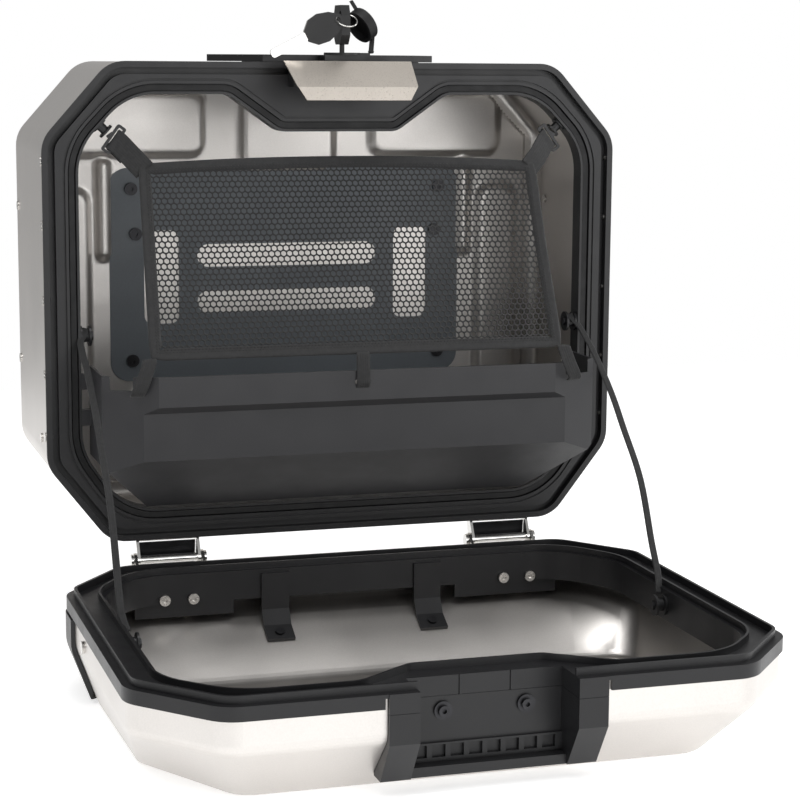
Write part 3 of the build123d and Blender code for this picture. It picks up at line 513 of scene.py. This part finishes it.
def net_top(x):
    """Height of the bowed top edge above the net's middle line."""
    return NET_HALF + NET_BOW * (1 - (x / NET_TOP_HALF) ** 2)


def net_side(v):
    """Half width of the net at a height."""
    share = (v + NET_HALF) / (2 * NET_HALF)
    return NET_LOW_HALF + (NET_TOP_HALF - NET_LOW_HALF) * share


def make_net(materials):
    """A knitted net of rounded six-sided cells, as real holes in a thin sheet."""
    verts, faces, index = [], [], {}

    def corner(i, j):
        """A shared corner of the cells, on a fine lattice of half cells and thirds."""
        if (i, j) not in index:
            index[(i, j)] = len(verts)
            verts.append(net_point(i * CELL / 2, j * CELL_RISE / 3))
        return index[(i, j)]

    columns = int(NET_LOW_HALF / CELL) + 1
    rows = int(NET_HALF / CELL_RISE) + 2
    for row in range(-rows, rows + 1):
        for column in range(-columns, columns + 1):
            i = 2 * column + (row % 2)
            j = 3 * row
            x, v = i * CELL / 2, j * CELL_RISE / 3
            beside = abs(x) > net_side(v) - EDGE_MARGIN
            if beside or v > net_top(x) - EDGE_MARGIN or v < -NET_HALF + EDGE_MARGIN:
                continue
            rim = [corner(i, j + 2), corner(i + 1, j + 1), corner(i + 1, j - 1), corner(i, j - 2),
                   corner(i - 1, j - 1), corner(i - 1, j + 1)]
            hole = []
            for k in range(12):
                turn = math.radians(90 - 30 * k)
                reach = HOLE * (HOLE_FLAT if k % 2 else 1.0)
                hole.append(len(verts))
                verts.append(net_point(x + math.cos(turn) * reach * CELL * HOLE_WIDE,
                                       v + math.sin(turn) * reach * CELL_RISE * HOLE_HIGH))
            for k in range(6):
                a, b = rim[k], rim[(k + 1) % 6]
                p, q, r = hole[2 * k], hole[2 * k + 1], hole[(2 * k + 2) % 12]
                faces.append((a, q, p))
                faces.append((a, b, q))
                faces.append((b, r, q))
    net = new_piece("cargo_net_mesh", verts, faces, materials["net"], None)
    thicken = net.modifiers.new("yarn", "SOLIDIFY")
    thicken.thickness = YARN
    thicken.offset = 0
    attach(net, "case")
    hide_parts("cargo_net")
    cloth = sum(p.area for p in net.data.polygons)
    return net, cloth


def net_edge_loop(inset, steps_x=44, steps_v=20):
    """Points round the net's outline, moved in by the inset, clockwise from the top left."""
    points = []
    top_half, low_half = NET_TOP_HALF - inset, NET_LOW_HALF - inset
    for i in range(steps_x):
        x = -top_half + 2 * top_half * i / steps_x
        points.append((x, net_top(x) - inset))
    for i in range(steps_v):
        share = i / steps_v
        points.append((top_half + (low_half - top_half) * share,
                       NET_HALF - inset - (2 * NET_HALF - 2 * inset) * share))
    for i in range(steps_x):
        points.append((low_half - 2 * low_half * i / steps_x, -NET_HALF + inset))
    for i in range(steps_v):
        share = i / steps_v
        points.append((-low_half + (low_half - top_half) * share,
                       -NET_HALF + inset + (2 * NET_HALF - 2 * inset) * share))
    return points


def make_binding(materials):
    """The tape folded over the net's edge, thicker at its folded outside."""
    loop = net_edge_loop(BINDING_W / 2)
    count = len(loop)
    path, frames = [], []
    for i, (x, v) in enumerate(loop):
        before, after = loop[i - 1], loop[(i + 1) % count]
        run = Vector((after[0] - before[0], after[1] - before[1])).normalized()
        path.append(net_point(x, v))
        outward = Vector((-run.y, run.x))
        frames.append((Vector((outward.x, 0, 0)) + NET_UP * outward.y, NET_OUT))
    half = BINDING_W / 2
    fold = BINDING_T / 2
    upper = [(-half, 0.0007), (-half * 0.2, 0.0009), (half * 0.25, 0.0010),
             (half * 0.5, fold), (half * 0.8, fold * 1.02), (half, fold * 0.5)]
    profile = upper + [(across, -out) for across, out in reversed(upper)]
    verts, faces = sweep(path, frames, profile, closed=True)
    binding = new_piece("net_binding_tape", verts, faces, materials["webbing"], "case")
    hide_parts("net_binding")
    return binding


def make_stitches(materials):
    """Two rows of lock stitch along the binding, front and back."""
    verts, faces = [], []
    for inset in STITCH_ROWS:
        loop = net_edge_loop(inset, 180, 80)
        points = [Vector(p) for p in loop]
        total, marks = 0.0, []
        for i, point in enumerate(points):
            following = points[(i + 1) % len(points)]
            length = (following - point).length
            while total < length:
                place = point + (following - point) * (total / length)
                marks.append((place, (following - point).normalized()))
                total += STITCH_PITCH
            total -= length
        for place, run in marks:
            for face_side in (1, -1):
                base = len(verts)
                side = Vector((-run.y, run.x))
                for a, b, h in ((-1, 0, 0), (-0.6, -1, 0.3), (0.6, -1, 0.3), (1, 0, 0), (0.6, 1, 0.3),
                                (-0.6, 1, 0.3), (-0.5, 0, 1), (0.5, 0, 1)):
                    flat = place + run * (a * STITCH_HALF_LENGTH) + side * (b * STITCH_HALF_WIDTH)
                    lift = face_side * (STITCH_BASE + h * STITCH_RISE)
                    verts.append(net_point(flat.x, flat.y, lift))
                rim = [base + k for k in range(6)]
                faces.append((rim[0], rim[1], base + 6))
                faces.append((rim[1], rim[2], base + 7, base + 6))
                faces.append((rim[2], rim[3], base + 7))
                faces.append((rim[3], rim[4], base + 7))
                faces.append((rim[4], rim[5], base + 6, base + 7))
                faces.append((rim[5], rim[0], base + 6))
                faces.append(tuple(rim))
    return new_piece("net_binding_stitches", verts, faces, materials["key"], "case")


def make_net_straps(materials):
    """Elastic straps from the net's corners to the hooks, and three down to the bin."""
    straps = []
    for sign, name in ((-1, "left"), (1, "right")):
        across = Vector((-sign * 0.588, 0, 0.809))
        points = [
            Vector((sign * 0.1765, -0.2100, 0.1175)), Vector((sign * 0.1865, -0.2058, 0.1285)),
            Vector((sign * 0.1960, -0.1985, 0.1395)), Vector((sign * 0.2000, -0.1962, 0.1432)),
            Vector((sign * 0.2005, -0.1938, 0.1436)), Vector((sign * 0.1970, -0.1950, 0.1392)),
            Vector((sign * 0.1890, -0.2010, 0.1300)),
        ]
        straps.append(tape(f"net_strap_upper_{name}", points, UPPER_STRAP_W, NET_STRAP_T, across,
                           materials["webbing"], "case", ribs=9))
    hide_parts("net_upper_straps")
    lower = []
    for name, high, low in (("left", -0.187, -0.197), ("middle", 0.0, 0.0), ("right", 0.187, 0.197)):
        points = [Vector((low, -0.2740, -0.0690)), Vector((low, -0.2798, -0.0655)),
                  Vector(((low + high) / 2, -0.2800, -0.0540)), Vector((high, -0.2785, -0.0400)),
                  Vector((high, -0.2762, -0.0375))]
        lower.append(tape(f"net_strap_lower_{name}", points, LOWER_STRAP_W, NET_STRAP_T, (1, 0, 0),
                          materials["webbing"], "case", ribs=6))
    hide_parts("net_lower_straps")
    return straps + lower


# ------------------------------------------------------------------ check straps
CHECK_X = 0.233
CHECK_W = 0.006
CHECK_T = 0.0015


def make_check_straps(materials):
    """The straps that hold the lid level, from the case wall down to the lid's spools."""
    for sign, name in ((-1, "left"), (1, "right")):
        x = sign * CHECK_X
        points = [
            Vector((sign * 0.2265, -0.1900, -0.0205)),
            Vector((sign * 0.2285, -0.1945, -0.0250)),
            Vector((x, -0.2020, -0.0322)),
            Vector((x, -0.2380, -0.0520)),
            Vector((x, -0.2780, -0.0810)),
            Vector((x, -0.3080, -0.1090)),
            Vector((x, -0.3480, -0.1480)),
            Vector((x, -0.3750, -0.1980)),
            Vector((x, -0.3900, -0.2230)),
            Vector((sign * 0.2300, -0.4000, -0.2375)),
        ]
        strap = tape(f"check_strap_webbing_{name}", points, CHECK_W, CHECK_T, (1, 0, 0),
                     materials["webbing"], None, ribs=4)
        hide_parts(f"check_strap_{name}")
        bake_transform(strap)


# ------------------------------------------------------------------ rubber seal
SEAL_ROUND = 0.0014


def make_seal(materials):
    """The rubber seal of the body frame, in its own finish and with rounded edges."""
    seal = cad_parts["body_seal"]
    seal.data.materials.clear()
    seal.data.materials.append(materials["rubber"])
    bevel = seal.modifiers.new("round", "BEVEL")
    bevel.width = SEAL_ROUND
    bevel.segments = 3
    bevel.limit_method = "ANGLE"


# ------------------------------------------------------------------ pressed back wall
WALL_Y = -0.0116
PRESS_RISE = 0.006
PRESS_SOFT = 0.007
WALL_SHEET = 0.0004
WALL_HALF_X = 0.246
WALL_LOW, WALL_HIGH = -0.195, 0.195
WALL_CUT = 0.052
WALL_STEP = 0.0030
# Middle, half size and corner radius of each panel, and of the flat under the backing plate.
PANELS = (
    ((-0.150, 0.152), (0.066, 0.030), 0.012),
    ((0.150, 0.152), (0.066, 0.030), 0.012),
    ((0.0, 0.152), (0.046, 0.045), 0.016),
    ((-0.1805, 0.071), (0.0055, 0.047), 0.005),
    ((0.1805, 0.071), (0.0055, 0.047), 0.005),
    ((0.0, -0.135), (0.160, 0.030), 0.016),
    ((-0.215, -0.02), (0.020, 0.110), 0.014),
    ((0.215, -0.02), (0.020, 0.110), 0.014),
)
UNDER_PLATE = ((0, 0.0075), (0.168, 0.099), 0.018)


def rounded_distance(x, z, middle, half, radius):
    """Distance outside a rounded rectangle, negative inside it."""
    dx = abs(x - middle[0]) - half[0] + radius
    dz = abs(z - middle[1]) - half[1] + radius
    return math.hypot(max(dx, 0), max(dz, 0)) + min(max(dx, dz), 0) - radius


def make_back_wall(materials):
    """The ribs and panels pressed into the back wall, as a thin sheet that lines it."""
    columns = int(2 * WALL_HALF_X / WALL_STEP)
    rows = int((WALL_HIGH - WALL_LOW) / WALL_STEP)
    verts, index, faces = [], {}, []
    for row in range(rows + 1):
        for column in range(columns + 1):
            x = -WALL_HALF_X + WALL_STEP * column
            z = WALL_LOW + WALL_STEP * row
            if abs(x) - WALL_HALF_X + WALL_CUT > min(WALL_HIGH - z, z - WALL_LOW):
                continue
            rise = 0.0
            for middle, half, radius in PANELS:
                inside = -rounded_distance(x, z, middle, half, radius)
                share = min(1.0, max(0.0, (inside + PRESS_SOFT * 0.5) / PRESS_SOFT))
                rise = max(rise, share * share * (3 - 2 * share))
            if rounded_distance(x, z, *UNDER_PLATE) < 0:
                rise = 0.0
            index[(column, row)] = len(verts)
            verts.append(Vector((x, WALL_Y - WALL_SHEET - PRESS_RISE * rise, z)))
    for row in range(rows):
        for column in range(columns):
            corners = [(column, row), (column + 1, row), (column + 1, row + 1), (column, row + 1)]
            if all(c in index for c in corners):
                faces.append(tuple(index[c] for c in corners))
    wall = new_piece("back_wall_pressing", verts, faces, materials["aluminium"], None)
    thicken = wall.modifiers.new("sheet", "SOLIDIFY")
    thicken.thickness = WALL_SHEET
    thicken.offset = 0
    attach(wall, "case")


# ------------------------------------------------------------------ hinge plates (painted shade)
SHADE_PLATE_INSET = 0.006
SHADE_PLATE_PROFILE = (
    (-0.1935, -0.2135), (-0.1915, -0.2135), (-0.1895, -0.2290),
    (-0.1915, -0.2450), (-0.1935, -0.2450), (-0.1915, -0.2290),
)


def make_hinge_shade_plates(materials):
    """A dark folded plate behind each hinge pin, riding on the case. Its black is painted shade: it stands
    for the back of the polished lid leaf, lying in shadow.
    """
    for name in ("left", "right"):
        low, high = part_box(f"hinge_leaf_lid_{name}")
        middle = (low.x + high.x) / 2
        half = (high.x - low.x) / 2 - SHADE_PLATE_INSET
        verts = [Vector((middle + side * half, y, z)) for side in (-1, 1) for y, z in SHADE_PLATE_PROFILE]
        count = len(SHADE_PLATE_PROFILE)
        faces = [(k, (k + 1) % count, count + (k + 1) % count, count + k) for k in range(count)]
        faces.append(tuple(range(count))[::-1])
        faces.append(tuple(range(count, 2 * count)))
        # black steel here is painted shade on the shadowed lid leaf
        plate = new_piece(f"hinge_shade_plate_{name}", verts, faces, materials["black_steel"], None,
                          smooth=False)
        bevel = plate.modifiers.new("soft_edge", "BEVEL")
        bevel.width = 0.0003
        bevel.segments = 2
        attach(plate, "case")


# ------------------------------------------------------------------ soft edges on the CAD
EDGE_ANGLE = math.radians(40)


def soften_edges():
    """A small radius on the moulded and pressed pieces, so their edges catch light."""
    widths = {
        "storage_bin": 0.0012, "latch_cover": 0.0009, "lid_grip_cover": 0.0007, "lid_frame": 0.0005,
        "body_frame": 0.0005, "corner_guards": 0.0007, "lock_cap": 0.0007, "key_in_lock": 0.0008,
        "spare_key": 0.0008, "net_hooks": 0.0004, "latch_housing": 0.0005, "hinge_leaf_body_left": 0.0004,
        "hinge_leaf_body_right": 0.0004, "hinge_leaf_lid_left": 0.0004, "hinge_leaf_lid_right": 0.0004,
        "backing_plate": 0.0005, "lid_braces": 0.0005, "lock_cap_ring": 0.0004, "lock_bezel": 0.0004,
        "strap_anchors_body": 0.0004, "strap_spools_lid": 0.0004, "net_spools": 0.0004,
    }
    for node, width in widths.items():
        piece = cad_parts[node]
        bevel = piece.modifiers.new("soft_edge", "BEVEL")
        bevel.width = width
        bevel.segments = 2
        bevel.limit_method = "ANGLE"
        bevel.angle_limit = EDGE_ANGLE


# ------------------------------------------------------------------ build
make_camera()
make_light()
make_floor()
kit = make_materials()
dress_nodes(kit)
steel_blades(kit)
make_seal(kit)
soften_edges()
make_back_wall(kit)
net, net_area = make_net(kit)
binding = make_binding(kit)
stitches = make_stitches(kit)
net_straps = make_net_straps(kit)
make_check_straps(kit)
make_hinge_shade_plates(kit)
